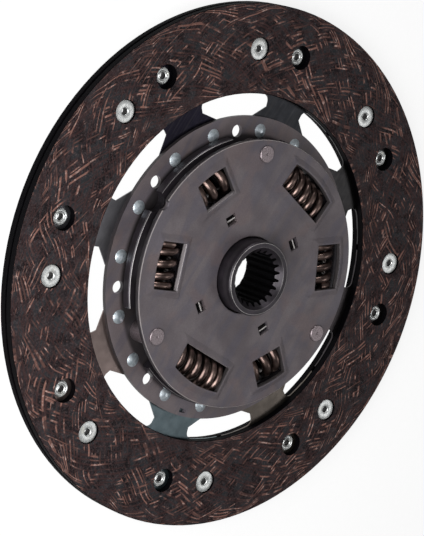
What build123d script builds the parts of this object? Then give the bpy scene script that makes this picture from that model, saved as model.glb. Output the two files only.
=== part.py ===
"""Clutch disc: two friction facings on sprung cushion segments, carried round a splined hub by a
torsion damper with six spring windows.

Millimetres. The disc lies flat: Z is its axis, and the rear facing's rear face is z = 0.
"""

from build123d import *
import math
import os

os.makedirs("parts", exist_ok=True)

# Friction facings
FACING_OUTER_R = 120.0
FACING_INNER_R = 80.0
FACING_T = 3.05
FACING_EDGE = 0.25  # small bevel round each facing
CUSHION_GAP = 1.2  # room between the facings when nothing presses them

# Facing rivets: one circle, front and rear rivets in turn
FACING_RIVET_CIRCLE_R = 99.8
FRONT_RIVET_DEG = 31.85
REAR_RIVET_DEG = 17.35
FACING_RIVET_HEAD_R = 5.0
FACING_RIVET_HEAD_SINK = 0.66  # head below the friction face
FACING_RIVET_SHANK_R = 2.5
FACING_RIVET_BORE_R = 1.5
FACING_RIVET_FLARE = 0.9  # rounding of the bore at the head
FACING_RIVET_TAIL_R = 3.7
FACING_RIVET_TAIL_T = 0.82
FACING_SEAT_T = 1.2  # facing left under a rivet head
FACING_SEAT_CLEARANCE = 0.3
FACING_ACCESS_R = 5.5  # open hole over each rivet tail
RIVET_HOLE_CLEARANCE = 0.05

# Cushion segments
SEGMENT_COUNT = 8
SEGMENT_T = 0.7
SEGMENT_NECK_DEG = 15.0  # middle of the first segment's neck
SEGMENT_FOOT_LAP = 4.1  # foot inside the rivet circle
SEGMENT_FOOT_SETBACK = 0.3  # foot inside the retainer plate's edge
SEGMENT_FOOT_HALF_DEG = 14.1
SEGMENT_NECK_HALF_DEG = 8.1
SEGMENT_NECK_FILLET = 3.0
SEGMENT_BLADE_PROUD = 0.2  # blade past the facing's bore
SEGMENT_BLADE_MARGIN = 1.6  # blade inside the facing's outer edge
SEGMENT_BLADE_SPLIT = 1.0  # half the slit between two blades, in degrees
SEGMENT_LAND_HALF = 5.0  # flat land at a rivet, along the wave
SEGMENT_RAMP = 4.5  # run from the outer land back to the middle of the gap
SEGMENT_CORNER = 2.0

# Segment rivets
SEGMENT_RIVET_OUTSET = 2.2  # rivet circle outside the cover plate
SEGMENT_RIVET_HALF_DEG = 10.25
SEGMENT_RIVET_SHANK_R = 1.8
SEGMENT_RIVET_HEAD_R = 3.15
SEGMENT_RIVET_DOME = 0.95
SEGMENT_RIVET_FOOT_T = 1.1

# Side plates
PLATE_GAP = 9.76  # between the inner faces, set by the stop pins
RETAINER_RIM = 6.3  # plate outside the rivet circle
RETAINER_T = 2.0
RETAINER_BORE_R = 20.0
COVER_RIM = 3.8  # plate outside the windows' embossing
COVER_T = 2.6
COVER_EDGE = 0.35
HUB_TO_COVER_CLEARANCE = 0.7
BALANCE_HOLE_R = 2.8
BALANCE_HOLE_INSET = 0.35  # from the rivet circle
LOCATING_SLOT_INSET = 2.5  # from the plate's edge
LOCATING_SLOT_DEG = 16.5
LOCATING_SLOT_LENGTH = 3.6
LOCATING_SLOT_WIDTH = 1.8

# Spring windows: three sizes in opposed pairs, each 35 degrees from a stop pin
WINDOW_INNER_TUCK = 2.2  # straight inner edge past the inner side of a spring
WINDOW_OUTER_TUCK = 1.3  # curved outer edge inside the outer side of a spring
LONG_WINDOW_DEGS = (5.0, 175.0)
MEDIUM_WINDOW_DEGS = (125.0, 295.0)
SHORT_WINDOW_DEGS = (55.0, 245.0)
LONG_WINDOW_LENGTH = 29.4
MEDIUM_WINDOW_LENGTH = 21.3
SHORT_WINDOW_LENGTH = 16.7
EMBOSS_LAND = 0.7  # flat frame round a window, pressed outwards with its edge
EMBOSS_SLOPE = 2.6  # run of the slope from that frame down to the plate
COVER_EMBOSS = 1.4
RETAINER_EMBOSS = 2.9

# Damper springs
SPRING_OUTER_D = 17.6
SPRING_END_CLEARANCE = 0.1
SPRING_LINE_R = 46.7
LONG_WIRE_D = 3.3
LONG_PITCH = 5.3
MEDIUM_WIRE_D = 3.7
MEDIUM_PITCH = 5.5
SHORT_WIRE_D = 4.3
SHORT_PITCH = 7.5
INNER_SPRING_OUTER_D = 10.6
INNER_WIRE_D = 1.8
INNER_PITCH = 3.6

# Stop pins
PIN_COUNT = 3
PIN_FIRST_DEG = 90.0
PIN_CIRCLE_INSET = 6.5  # from the edge of the cover plate
PIN_BODY_R = 5.0
PIN_TENON_R = 3.2
PIN_HEAD_R = 3.85
PIN_HEAD_T = 0.75
PIN_DIMPLE_R = 0.6
PIN_DIMPLE_DEPTH = 0.35

# Hub
HUB_R = 17.0
HUB_REAR_Z = 0.7
HUB_FRONT_Z = 26.2
HUB_EDGE = 0.7
HUB_RIM_WALL = 5.9  # flange outside the spring windows
HUB_FLANGE_T = 4.6
HUB_FLANGE_EDGE = 0.6
SPLINE_COUNT = 22
SPLINE_MINOR_R = 11.5
SPLINE_MAJOR_R = 13.0
SPLINE_GAP_ROOT = 0.9  # width of a gap at the major circle
SPLINE_GAP_MOUTH = 1.9
SPLINE_CHAMFER_R = 14.3
PIN_CUTOUT_HALF_DEG = 14.6
PIN_CUTOUT_CLEARANCE = 0.8  # below the pin
HUB_WINDOW_SIDE_CLEARANCE = 0.6
HUB_WINDOW_CORNER = 0.8
MEDIUM_LOST_MOTION = 2.0  # hub window longer than the spring, at each end
SHORT_LOST_MOTION = 3.5
NOTCH_DEG = -90.0
HUB_NOTCH_R = 4.7
COVER_NOTCH_R = 2.9
COVER_NOTCH_DEPTH = 1.7

# Friction device
REAR_WASHER_T = 1.8
REAR_WASHER_OUTER_R = 31.0
BUSH_COLLAR_R = 22.0
BUSH_COLLAR_T = 1.6
BUSH_SLEEVE_LENGTH = 2.6
BUSH_CLEARANCE = 0.15
WASHER_CLEARANCE = 0.4
FRONT_WASHER_T = 1.2
FRONT_WASHER_OUTER_R = 30.0
PRESSURE_RING_T = 0.9
LUG_COUNT = 4
LUG_FIRST_DEG = -30.0
LUG_R = 28.7  # middle of the lug's thickness
LUG_T = 0.6
LUG_WIDTH = 4.6
LUG_BELOW_FACE = 0.5
LUG_SLOT_INNER = 26.2
LUG_SLOT_OUTER = 30.9
LUG_SLOT_WIDTH = 5.6
DISC_SPRING_T = 0.7
DISC_SPRING_INNER_R = 19.6

# Circles and edges that follow their neighbours
WINDOW_INNER = SPRING_LINE_R - SPRING_OUTER_D / 2 + WINDOW_INNER_TUCK
WINDOW_OUTER_R = SPRING_LINE_R + SPRING_OUTER_D / 2 - WINDOW_OUTER_TUCK
COVER_R = WINDOW_OUTER_R + EMBOSS_LAND + EMBOSS_SLOPE + COVER_RIM
PIN_CIRCLE_R = COVER_R - PIN_CIRCLE_INSET
SEGMENT_RIVET_CIRCLE_R = COVER_R + SEGMENT_RIVET_OUTSET
BALANCE_HOLE_CIRCLE_R = SEGMENT_RIVET_CIRCLE_R - BALANCE_HOLE_INSET
RETAINER_R = SEGMENT_RIVET_CIRCLE_R + RETAINER_RIM
LOCATING_SLOT_R = RETAINER_R - LOCATING_SLOT_INSET
SEGMENT_FOOT_INNER_R = SEGMENT_RIVET_CIRCLE_R - SEGMENT_FOOT_LAP
SEGMENT_FOOT_OUTER_R = RETAINER_R - SEGMENT_FOOT_SETBACK
SEGMENT_BLADE_INNER_R = FACING_INNER_R - SEGMENT_BLADE_PROUD
SEGMENT_NECK_R = (SEGMENT_FOOT_OUTER_R + SEGMENT_BLADE_INNER_R) / 2
HUB_WINDOW_HALF = SPRING_OUTER_D / 2 + HUB_WINDOW_SIDE_CLEARANCE
HUB_FLANGE_R = SPRING_LINE_R + HUB_WINDOW_HALF + HUB_RIM_WALL

# Levels along the axis
REAR_FACING_FRONT_Z = FACING_T
FRONT_FACING_REAR_Z = REAR_FACING_FRONT_Z + CUSHION_GAP
FRONT_FACE_Z = FRONT_FACING_REAR_Z + FACING_T
SEGMENT_MID_Z = REAR_FACING_FRONT_Z + CUSHION_GAP / 2
SEGMENT_REAR_Z = SEGMENT_MID_Z - SEGMENT_T / 2
RETAINER_REAR_Z = SEGMENT_MID_Z + SEGMENT_T / 2
RETAINER_FRONT_Z = RETAINER_REAR_Z + RETAINER_T
COVER_REAR_Z = RETAINER_FRONT_Z + PLATE_GAP
COVER_FRONT_Z = COVER_REAR_Z + COVER_T
HUB_FLANGE_REAR_Z = RETAINER_FRONT_Z + REAR_WASHER_T
HUB_FLANGE_FRONT_Z = HUB_FLANGE_REAR_Z + HUB_FLANGE_T
SPRING_Z = (HUB_FLANGE_REAR_Z + HUB_FLANGE_FRONT_Z) / 2
FRONT_WASHER_FRONT_Z = HUB_FLANGE_FRONT_Z + FRONT_WASHER_T
PRESSURE_RING_FRONT_Z = FRONT_WASHER_FRONT_Z + PRESSURE_RING_T
SEGMENT_PITCH_DEG = 360 / SEGMENT_COUNT
WAVE_RISE = (CUSHION_GAP - SEGMENT_T) / 2
CUT_MARGIN = 5.0  # how far a cutting solid runs past what it cuts


def at_angle(radius, degrees):
    """A place on a circle round the axis, turned so that local X points outwards."""
    return Rot(0, 0, degrees) * Pos(radius, 0, 0)


def disc(radius, z0, z1):
    return Pos(0, 0, z0) * extrude(Circle(radius), z1 - z0)


def ring(inner_r, outer_r, z0, z1):
    return Pos(0, 0, z0) * extrude(Circle(outer_r) - Circle(inner_r), z1 - z0)


def slab(x0, x1, y0, y1, z0, z1):
    """A box given by its corner coordinates."""
    middle = Pos((x0 + x1) / 2, (y0 + y1) / 2, (z0 + z1) / 2)
    return middle * Box(x1 - x0, y1 - y0, z1 - z0)


def turned(profile):
    """Revolve a closed outline of (radius, height) points round the axis."""
    return revolve(Plane.XZ * make_face(Polyline(*profile, close=True)), Axis.Z)


def polar_point(radius, degrees):
    angle = math.radians(degrees)
    return (radius * math.cos(angle), radius * math.sin(angle))


def sector(inner_r, outer_r, half_deg):
    """A flat piece of a ring, symmetric about X."""
    outer = RadiusArc(polar_point(outer_r, -half_deg), polar_point(outer_r, half_deg), -outer_r)
    inner = RadiusArc(polar_point(inner_r, half_deg), polar_point(inner_r, -half_deg), inner_r)
    sides = [Line(outer @ 1, inner @ 0), Line(inner @ 1, outer @ 0)]
    return make_face([outer, sides[0], inner, sides[1]])


def facing():
    """One friction ring, seen with its friction face up at z = FACING_T."""
    body = ring(FACING_INNER_R, FACING_OUTER_R, 0, FACING_T)
    body = chamfer(body.edges().filter_by(GeomType.CIRCLE), FACING_EDGE)
    return body


def facing_holes(seat_deg, access_deg):
    """Stepped seats for one set of rivets and open access holes over the other set's tails."""
    seat = disc(FACING_RIVET_HEAD_R + FACING_SEAT_CLEARANCE, FACING_SEAT_T, FACING_T + CUT_MARGIN)
    seat += disc(FACING_RIVET_SHANK_R + RIVET_HOLE_CLEARANCE, -CUT_MARGIN, FACING_T)
    access = disc(FACING_ACCESS_R, -CUT_MARGIN, FACING_T + CUT_MARGIN)
    holes = []
    for index in range(SEGMENT_COUNT):
        turn = index * SEGMENT_PITCH_DEG
        holes.append(at_angle(FACING_RIVET_CIRCLE_R, seat_deg + turn) * seat)
        holes.append(at_angle(FACING_RIVET_CIRCLE_R, access_deg + turn) * access)
    return holes


def front_facing():
    body = facing() - facing_holes(FRONT_RIVET_DEG, REAR_RIVET_DEG)
    return Pos(0, 0, FRONT_FACING_REAR_Z) * body


def rear_facing():
    """The same ring turned over, so that its friction face is at z = 0."""
    body = facing() - facing_holes(-REAR_RIVET_DEG, -FRONT_RIVET_DEG)
    return Pos(0, 0, REAR_FACING_FRONT_Z) * Rot(180, 0, 0) * body


def facing_rivet():
    """Tubular rivet with its head's underside at z = 0 and its shank pointing down."""
    head_t = FACING_T - FACING_SEAT_T - FACING_RIVET_HEAD_SINK
    grip = FACING_SEAT_T + SEGMENT_T
    tail = FACING_RIVET_TAIL_T
    roll = tail / 4
    return turned(
        [
            (FACING_RIVET_BORE_R, head_t - FACING_RIVET_FLARE / 2),
            (FACING_RIVET_BORE_R + FACING_RIVET_FLARE, head_t),
            (FACING_RIVET_HEAD_R - FACING_RIVET_FLARE / 3, head_t),
            (FACING_RIVET_HEAD_R, head_t / 2),
            (FACING_RIVET_HEAD_R, 0),
            (FACING_RIVET_SHANK_R, 0),
            (FACING_RIVET_SHANK_R, -grip),
            (FACING_RIVET_TAIL_R - roll, -grip),
            (FACING_RIVET_TAIL_R, -grip - roll),
            (FACING_RIVET_TAIL_R - roll, -grip - tail + roll),
            ((FACING_RIVET_TAIL_R + FACING_RIVET_BORE_R) / 2, -grip - tail),
            (FACING_RIVET_BORE_R, -grip - tail + roll),
        ]
    )


def facing_rivets(first_deg, place):
    rivet = place * facing_rivet()
    turns = [first_deg + index * SEGMENT_PITCH_DEG for index in range(SEGMENT_COUNT)]
    return Compound([at_angle(FACING_RIVET_CIRCLE_R, turn) * rivet for turn in turns])


def segment_blade():
    """The blade's flat outline, with its neck along X."""
    half_deg = SEGMENT_PITCH_DEG / 2 - SEGMENT_BLADE_SPLIT
    outer_r = FACING_OUTER_R - SEGMENT_BLADE_MARGIN
    blade = sector(SEGMENT_BLADE_INNER_R, outer_r, half_deg)
    tips = blade.vertices().filter_by(lambda v: math.hypot(v.X, v.Y) > outer_r - 0.1)
    return fillet(tips, SEGMENT_CORNER)


def segment_foot():
    """Foot and waist, widening through fillets into the inner edge of the blade."""
    foot = sector(SEGMENT_FOOT_INNER_R, SEGMENT_FOOT_OUTER_R, SEGMENT_FOOT_HALF_DEG)
    shoulder = polar_point(SEGMENT_FOOT_OUTER_R, SEGMENT_FOOT_HALF_DEG)
    waist = polar_point(SEGMENT_NECK_R, SEGMENT_NECK_HALF_DEG)
    top = polar_point(SEGMENT_BLADE_INNER_R + 1, SEGMENT_NECK_HALF_DEG)
    half = [shoulder, waist, top]
    other = [(x, -y) for x, y in reversed(half)]
    neck = make_face(Polyline(*half, *other, close=True))
    overlap_r = SEGMENT_BLADE_INNER_R + SEGMENT_NECK_FILLET
    root = sector(SEGMENT_BLADE_INNER_R, overlap_r, SEGMENT_NECK_HALF_DEG * 2)
    flat = foot + neck + root
    x, y = polar_point(SEGMENT_BLADE_INNER_R, SEGMENT_NECK_HALF_DEG)
    corners = flat.vertices().filter_by(lambda v: math.hypot(v.X - x, abs(v.Y) - y) < 0.01)
    room = SEGMENT_BLADE_INNER_R - SEGMENT_NECK_R
    return fillet(corners, min(SEGMENT_NECK_FILLET, 0.6 * room))


def wave_sheet():
    """The blade's pressed wave: flat lands that meet the rear and front facings in turn."""
    offset = math.radians(FRONT_RIVET_DEG - REAR_RIVET_DEG)
    land = FACING_RIVET_CIRCLE_R * math.sin(offset)
    reach = FACING_OUTER_R
    low = SEGMENT_MID_Z - WAVE_RISE
    high = SEGMENT_MID_Z + WAVE_RISE
    half = [
        (SEGMENT_LAND_HALF, low),
        (land - SEGMENT_LAND_HALF, high),
        (land + SEGMENT_LAND_HALF, high),
        (land + SEGMENT_LAND_HALF + SEGMENT_RAMP, SEGMENT_MID_Z),
        (reach, SEGMENT_MID_Z),
    ]
    line = [(-y, z) for y, z in reversed(half)] + half
    top = [(y, z + SEGMENT_T / 2) for y, z in line]
    bottom = [(y, z - SEGMENT_T / 2) for y, z in reversed(line)]
    profile = Plane.YZ * make_face(Polyline(*top, *bottom, close=True))
    sheet = extrude(Pos(SEGMENT_BLADE_INNER_R - CUT_MARGIN * 3, 0, 0) * profile, FACING_OUTER_R)
    return Rot(0, 0, REAR_RIVET_DEG - SEGMENT_NECK_DEG) * sheet


def cushion_segment(index):
    foot = Pos(0, 0, SEGMENT_REAR_Z) * extrude(segment_foot(), SEGMENT_T)
    body = foot + (extrude(segment_blade(), FRONT_FACE_Z) & wave_sheet())
    facing_hole = disc(FACING_RIVET_SHANK_R + RIVET_HOLE_CLEARANCE, 0, FRONT_FACE_Z)
    foot_hole = disc(SEGMENT_RIVET_SHANK_R + RIVET_HOLE_CLEARANCE, 0, FRONT_FACE_Z)
    holes = []
    for rivet_deg in (FRONT_RIVET_DEG, REAR_RIVET_DEG):
        holes.append(at_angle(FACING_RIVET_CIRCLE_R, rivet_deg - SEGMENT_NECK_DEG) * facing_hole)
    for side in (-1, 1):
        holes.append(at_angle(SEGMENT_RIVET_CIRCLE_R, side * SEGMENT_RIVET_HALF_DEG) * foot_hole)
    return Rot(0, 0, SEGMENT_NECK_DEG + index * SEGMENT_PITCH_DEG) * (body - holes)


def segment_rivets():
    """Domed rivets, two through the retainer plate and each segment's foot."""
    head = SEGMENT_RIVET_HEAD_R
    dome_radius = (head**2 + SEGMENT_RIVET_DOME**2) / (2 * SEGMENT_RIVET_DOME)
    top_z = RETAINER_FRONT_Z + SEGMENT_RIVET_DOME
    foot_z = SEGMENT_REAR_Z - SEGMENT_RIVET_FOOT_T
    dome = RadiusArc((0, top_z), (head, RETAINER_FRONT_Z), dome_radius)
    rest = Polyline(
        (head, RETAINER_FRONT_Z),
        (SEGMENT_RIVET_SHANK_R, RETAINER_FRONT_Z),
        (SEGMENT_RIVET_SHANK_R, SEGMENT_REAR_Z),
        (head, SEGMENT_REAR_Z),
        (head, foot_z),
        (0, foot_z),
        (0, top_z),
    )
    rivet = revolve(Plane.XZ * make_face([dome, rest]), Axis.Z)
    places = []
    for index in range(SEGMENT_COUNT):
        neck = SEGMENT_NECK_DEG + index * SEGMENT_PITCH_DEG
        for side in (-1, 1):
            places.append(at_angle(SEGMENT_RIVET_CIRCLE_R, neck + side * SEGMENT_RIVET_HALF_DEG))
    return Compound([place * rivet for place in places])


def windows():
    """Angle and length of each spring window."""
    sizes = [(turn, LONG_WINDOW_LENGTH) for turn in LONG_WINDOW_DEGS]
    sizes += [(turn, MEDIUM_WINDOW_LENGTH) for turn in MEDIUM_WINDOW_DEGS]
    sizes += [(turn, SHORT_WINDOW_LENGTH) for turn in SHORT_WINDOW_DEGS]
    return sizes


def window_outline(length, margin):
    """Flat outline along X, margin wider all round: straight inside, curved outside."""
    inner = WINDOW_INNER - margin
    outer = WINDOW_OUTER_R + margin
    half = length / 2 + margin
    corner = math.sqrt(outer**2 - half**2)
    arc = RadiusArc((corner, -half), (corner, half), -outer)
    rest = Polyline((corner, half), (inner, half), (inner, -half), (corner, -half))
    return make_face([arc, rest])


def emboss(length, rise, base_z):
    """The pressed-out frame of one window as a solid that stands on base_z."""
    foot = window_outline(length, EMBOSS_LAND + EMBOSS_SLOPE)
    land = window_outline(length, EMBOSS_LAND)
    return loft([Pos(0, 0, base_z) * foot, Pos(0, 0, base_z + rise) * land], ruled=True)


def pierce_windows(plate, rise, rear_z, front_z):
    """Press out and cut the six spring windows of a side plate; rise is negative to the rear."""
    grown_z, hollowed_z = (front_z, rear_z) if rise > 0 else (rear_z, front_z)
    cut_z0 = rear_z - CUT_MARGIN
    cut_z1 = front_z + CUT_MARGIN
    for turn, length in windows():
        place = Rot(0, 0, turn)
        plate += place * emboss(length, rise, grown_z)
        plate -= place * emboss(length, rise, hollowed_z)
        opening = extrude(window_outline(length, 0), cut_z1 - cut_z0)
        plate -= place * Pos(0, 0, cut_z0) * opening
    return plate


def pin_angles():
    return [PIN_FIRST_DEG + index * 360 / PIN_COUNT for index in range(PIN_COUNT)]


def retainer_plate():
    body = ring(RETAINER_BORE_R, RETAINER_R, RETAINER_REAR_Z, RETAINER_FRONT_Z)
    body = pierce_windows(body, -RETAINER_EMBOSS, RETAINER_REAR_Z, RETAINER_FRONT_Z)
    pin_hole = disc(PIN_TENON_R + RIVET_HOLE_CLEARANCE, 0, FRONT_FACE_Z)
    rivet_hole = disc(SEGMENT_RIVET_SHANK_R + RIVET_HOLE_CLEARANCE, 0, FRONT_FACE_Z)
    balance_hole = disc(BALANCE_HOLE_R, 0, FRONT_FACE_Z)
    cuts = [at_angle(PIN_CIRCLE_R, turn) * pin_hole for turn in pin_angles()]
    for index in range(SEGMENT_COUNT):
        neck = SEGMENT_NECK_DEG + index * SEGMENT_PITCH_DEG
        for side in (-1, 1):
            rivet_deg = neck + side * SEGMENT_RIVET_HALF_DEG
            cuts.append(at_angle(SEGMENT_RIVET_CIRCLE_R, rivet_deg) * rivet_hole)
        balance_deg = neck + SEGMENT_PITCH_DEG / 2
        cuts.append(at_angle(BALANCE_HOLE_CIRCLE_R, balance_deg) * balance_hole)
    slot = Box(LOCATING_SLOT_WIDTH, LOCATING_SLOT_LENGTH, 2 * FRONT_FACE_Z)
    cuts.append(at_angle(LOCATING_SLOT_R, LOCATING_SLOT_DEG) * slot)
    return body - cuts


def cover_plate():
    bore_r = HUB_R + HUB_TO_COVER_CLEARANCE
    body = ring(bore_r, COVER_R, COVER_REAR_Z, COVER_FRONT_Z)
    body = chamfer(body.edges().filter_by(GeomType.CIRCLE), COVER_EDGE)
    body = pierce_windows(body, COVER_EMBOSS, COVER_REAR_Z, COVER_FRONT_Z)
    pin_hole = disc(PIN_TENON_R + RIVET_HOLE_CLEARANCE, 0, HUB_FRONT_Z)
    cuts = [at_angle(PIN_CIRCLE_R, turn) * pin_hole for turn in pin_angles()]
    slot = slab(LUG_SLOT_INNER, LUG_SLOT_OUTER, -LUG_SLOT_WIDTH / 2, LUG_SLOT_WIDTH / 2, 0, HUB_FRONT_Z)
    cuts += [Rot(0, 0, turn) * slot for turn in lug_angles()]
    notch_centre_r = COVER_R + COVER_NOTCH_R - COVER_NOTCH_DEPTH
    cuts.append(at_angle(notch_centre_r, NOTCH_DEG) * disc(COVER_NOTCH_R, 0, HUB_FRONT_Z))
    return body - cuts


def stop_pin(turn):
    """Shouldered pin, riveted over on both plates, with a dimple in each head."""
    rear_head_z = RETAINER_REAR_Z - PIN_HEAD_T
    front_head_z = COVER_FRONT_Z + PIN_HEAD_T
    round_off = PIN_HEAD_T / 3
    body = turned(
        [
            (0, rear_head_z),
            (PIN_HEAD_R - round_off, rear_head_z),
            (PIN_HEAD_R, rear_head_z + round_off),
            (PIN_HEAD_R, RETAINER_REAR_Z),
            (PIN_TENON_R, RETAINER_REAR_Z),
            (PIN_TENON_R, RETAINER_FRONT_Z),
            (PIN_BODY_R, RETAINER_FRONT_Z),
            (PIN_BODY_R, COVER_REAR_Z),
            (PIN_TENON_R, COVER_REAR_Z),
            (PIN_TENON_R, COVER_FRONT_Z),
            (PIN_HEAD_R, COVER_FRONT_Z),
            (PIN_HEAD_R, front_head_z - round_off),
            (PIN_HEAD_R - round_off, front_head_z),
            (0, front_head_z),
        ]
    )
    dimple = Cone(0, PIN_DIMPLE_R, PIN_DIMPLE_DEPTH)
    body -= Pos(0, 0, front_head_z - PIN_DIMPLE_DEPTH / 2) * dimple
    body -= Pos(0, 0, rear_head_z + PIN_DIMPLE_DEPTH / 2) * Rot(180, 0, 0) * dimple
    return at_angle(PIN_CIRCLE_R, turn) * body


def hub_windows():
    """Windows of the hub flange, longer than the medium and short springs by their lost motion."""
    medium_length = MEDIUM_WINDOW_LENGTH + 2 * MEDIUM_LOST_MOTION
    short_length = SHORT_WINDOW_LENGTH + 2 * SHORT_LOST_MOTION
    sizes = [(turn, LONG_WINDOW_LENGTH) for turn in LONG_WINDOW_DEGS]
    sizes += [(turn, medium_length) for turn in MEDIUM_WINDOW_DEGS]
    sizes += [(turn, short_length) for turn in SHORT_WINDOW_DEGS]
    cuts = []
    for turn, length in sizes:
        outline = RectangleRounded(2 * HUB_WINDOW_HALF, length, HUB_WINDOW_CORNER)
        cut = extrude(Pos(SPRING_LINE_R, 0, 0) * outline, HUB_FRONT_Z)
        cuts.append(Rot(0, 0, turn) * cut)
    return cuts


def pin_cutouts():
    """Open cut-outs in the flange rim that the stop pins pass through and turn in."""
    floor_r = PIN_CIRCLE_R - PIN_BODY_R - PIN_CUTOUT_CLEARANCE
    outline = sector(floor_r, HUB_FLANGE_R + CUT_MARGIN, PIN_CUTOUT_HALF_DEG)
    inner = outline.vertices().filter_by(lambda v: math.hypot(v.X, v.Y) < floor_r + 0.1)
    cut = extrude(fillet(inner, PIN_BODY_R / 2), HUB_FRONT_Z)
    return [Rot(0, 0, turn) * cut for turn in pin_angles()]


def spline_bore():
    """Cutting solid for the toothed bore, with a lead-in at both ends."""
    gap = make_face(
        Polyline(
            (SPLINE_MINOR_R - 1, -SPLINE_GAP_MOUTH / 2),
            (SPLINE_MINOR_R, -SPLINE_GAP_MOUTH / 2),
            (SPLINE_MAJOR_R, -SPLINE_GAP_ROOT / 2),
            (SPLINE_MAJOR_R, SPLINE_GAP_ROOT / 2),
            (SPLINE_MINOR_R, SPLINE_GAP_MOUTH / 2),
            (SPLINE_MINOR_R - 1, SPLINE_GAP_MOUTH / 2),
            close=True,
        )
    )
    outline = Circle(SPLINE_MINOR_R)
    for index in range(SPLINE_COUNT):
        outline += Rot(0, 0, index * 360 / SPLINE_COUNT) * gap
    bore = Pos(0, 0, HUB_REAR_Z - CUT_MARGIN) * extrude(outline, HUB_FRONT_Z + 2 * CUT_MARGIN)
    lead = SPLINE_CHAMFER_R - SPLINE_MINOR_R
    mouth = Cone(SPLINE_MINOR_R, SPLINE_CHAMFER_R, lead)
    bore += Pos(0, 0, HUB_FRONT_Z - lead / 2) * mouth
    bore += Pos(0, 0, HUB_REAR_Z + lead / 2) * Rot(180, 0, 0) * mouth
    return bore


def hub():
    """Splined hub with its damper flange, in one forging."""
    barrel = disc(HUB_R, HUB_REAR_Z, HUB_FRONT_Z)
    barrel = chamfer(barrel.edges().filter_by(GeomType.CIRCLE), HUB_EDGE)
    flange = disc(HUB_FLANGE_R, HUB_FLANGE_REAR_Z, HUB_FLANGE_FRONT_Z)
    flange = chamfer(flange.edges().filter_by(GeomType.CIRCLE), HUB_FLANGE_EDGE)
    flange -= hub_windows()
    flange -= pin_cutouts()
    flange -= at_angle(HUB_FLANGE_R, NOTCH_DEG) * disc(HUB_NOTCH_R, 0, HUB_FRONT_Z)
    return barrel + flange - spline_bore()


def coil_spring(outer_d, wire_d, pitch, window_length):
    """Helical spring lying along a chord on the X side of the axis, with its ends ground flat."""
    length = window_length - 2 * SPRING_END_CLEARANCE
    height = length + 2 * wire_d
    path = Helix(pitch, height, (outer_d - wire_d) / 2)
    section = Plane(path @ 0, z_dir=path % 0) * Circle(wire_d / 2)
    coil = sweep(section, path=path, is_frenet=True)
    coil = Pos(0, 0, -height / 2) * coil
    coil &= Cylinder(outer_d, length)
    return Pos(SPRING_LINE_R, 0, SPRING_Z) * Rot(90, 0, 0) * coil


def long_spring():
    return coil_spring(SPRING_OUTER_D, LONG_WIRE_D, LONG_PITCH, LONG_WINDOW_LENGTH)


def inner_spring():
    """The thin spring that lies inside a long one."""
    return coil_spring(INNER_SPRING_OUTER_D, INNER_WIRE_D, INNER_PITCH, LONG_WINDOW_LENGTH)


def medium_spring():
    return coil_spring(SPRING_OUTER_D, MEDIUM_WIRE_D, MEDIUM_PITCH, MEDIUM_WINDOW_LENGTH)


def short_spring():
    return coil_spring(SPRING_OUTER_D, SHORT_WIRE_D, SHORT_PITCH, SHORT_WINDOW_LENGTH)


def rear_friction_washer():
    inner_r = BUSH_COLLAR_R + WASHER_CLEARANCE
    return ring(inner_r, REAR_WASHER_OUTER_R, RETAINER_FRONT_Z, HUB_FLANGE_REAR_Z)


def centring_bush():
    """Collared bush between the hub's rear barrel and the retainer plate."""
    inner_r = HUB_R + BUSH_CLEARANCE
    sleeve_r = RETAINER_BORE_R - BUSH_CLEARANCE
    sleeve = ring(inner_r, sleeve_r, RETAINER_FRONT_Z - BUSH_SLEEVE_LENGTH, RETAINER_FRONT_Z)
    collar = ring(inner_r, BUSH_COLLAR_R, RETAINER_FRONT_Z, RETAINER_FRONT_Z + BUSH_COLLAR_T)
    return sleeve + collar


def front_friction_washer():
    inner_r = HUB_R + WASHER_CLEARANCE
    return ring(inner_r, FRONT_WASHER_OUTER_R, HUB_FLANGE_FRONT_Z, FRONT_WASHER_FRONT_Z)


def lug_angles():
    return [LUG_FIRST_DEG + index * 360 / LUG_COUNT for index in range(LUG_COUNT)]


def pressure_ring():
    """Sheet ring with four bent lugs that stand in the cover's slots and keep it from turning."""
    inner_r = HUB_R + 2 * WASHER_CLEARANCE
    outer_r = LUG_R + LUG_T / 2
    body = ring(inner_r, outer_r, FRONT_WASHER_FRONT_Z, PRESSURE_RING_FRONT_Z)
    top_z = COVER_FRONT_Z - LUG_BELOW_FACE
    half = LUG_WIDTH / 2
    lug = slab(LUG_R - LUG_T / 2, outer_r, -half, half, FRONT_WASHER_FRONT_Z, top_z)
    for turn in lug_angles():
        body += Rot(0, 0, turn) * lug
    return body


def disc_spring():
    """Coned spring washer between the pressure ring and the cover plate."""
    outer_r = LUG_R - LUG_T / 2 - WASHER_CLEARANCE
    return turned(
        [
            (DISC_SPRING_INNER_R, PRESSURE_RING_FRONT_Z),
            (outer_r, COVER_REAR_Z - DISC_SPRING_T),
            (outer_r, COVER_REAR_Z),
            (DISC_SPRING_INNER_R, PRESSURE_RING_FRONT_Z + DISC_SPRING_T),
        ]
    )


def save(name, shape):
    export_step(shape, f"parts/{name}.step")


def save_pair(name, shape, turns):
    """Save a shape modelled on the X side of the axis once for each of its window angles."""
    for number, turn in enumerate(turns, start=1):
        save(f"{name}_{number}", Rot(0, 0, turn) * shape)


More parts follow.
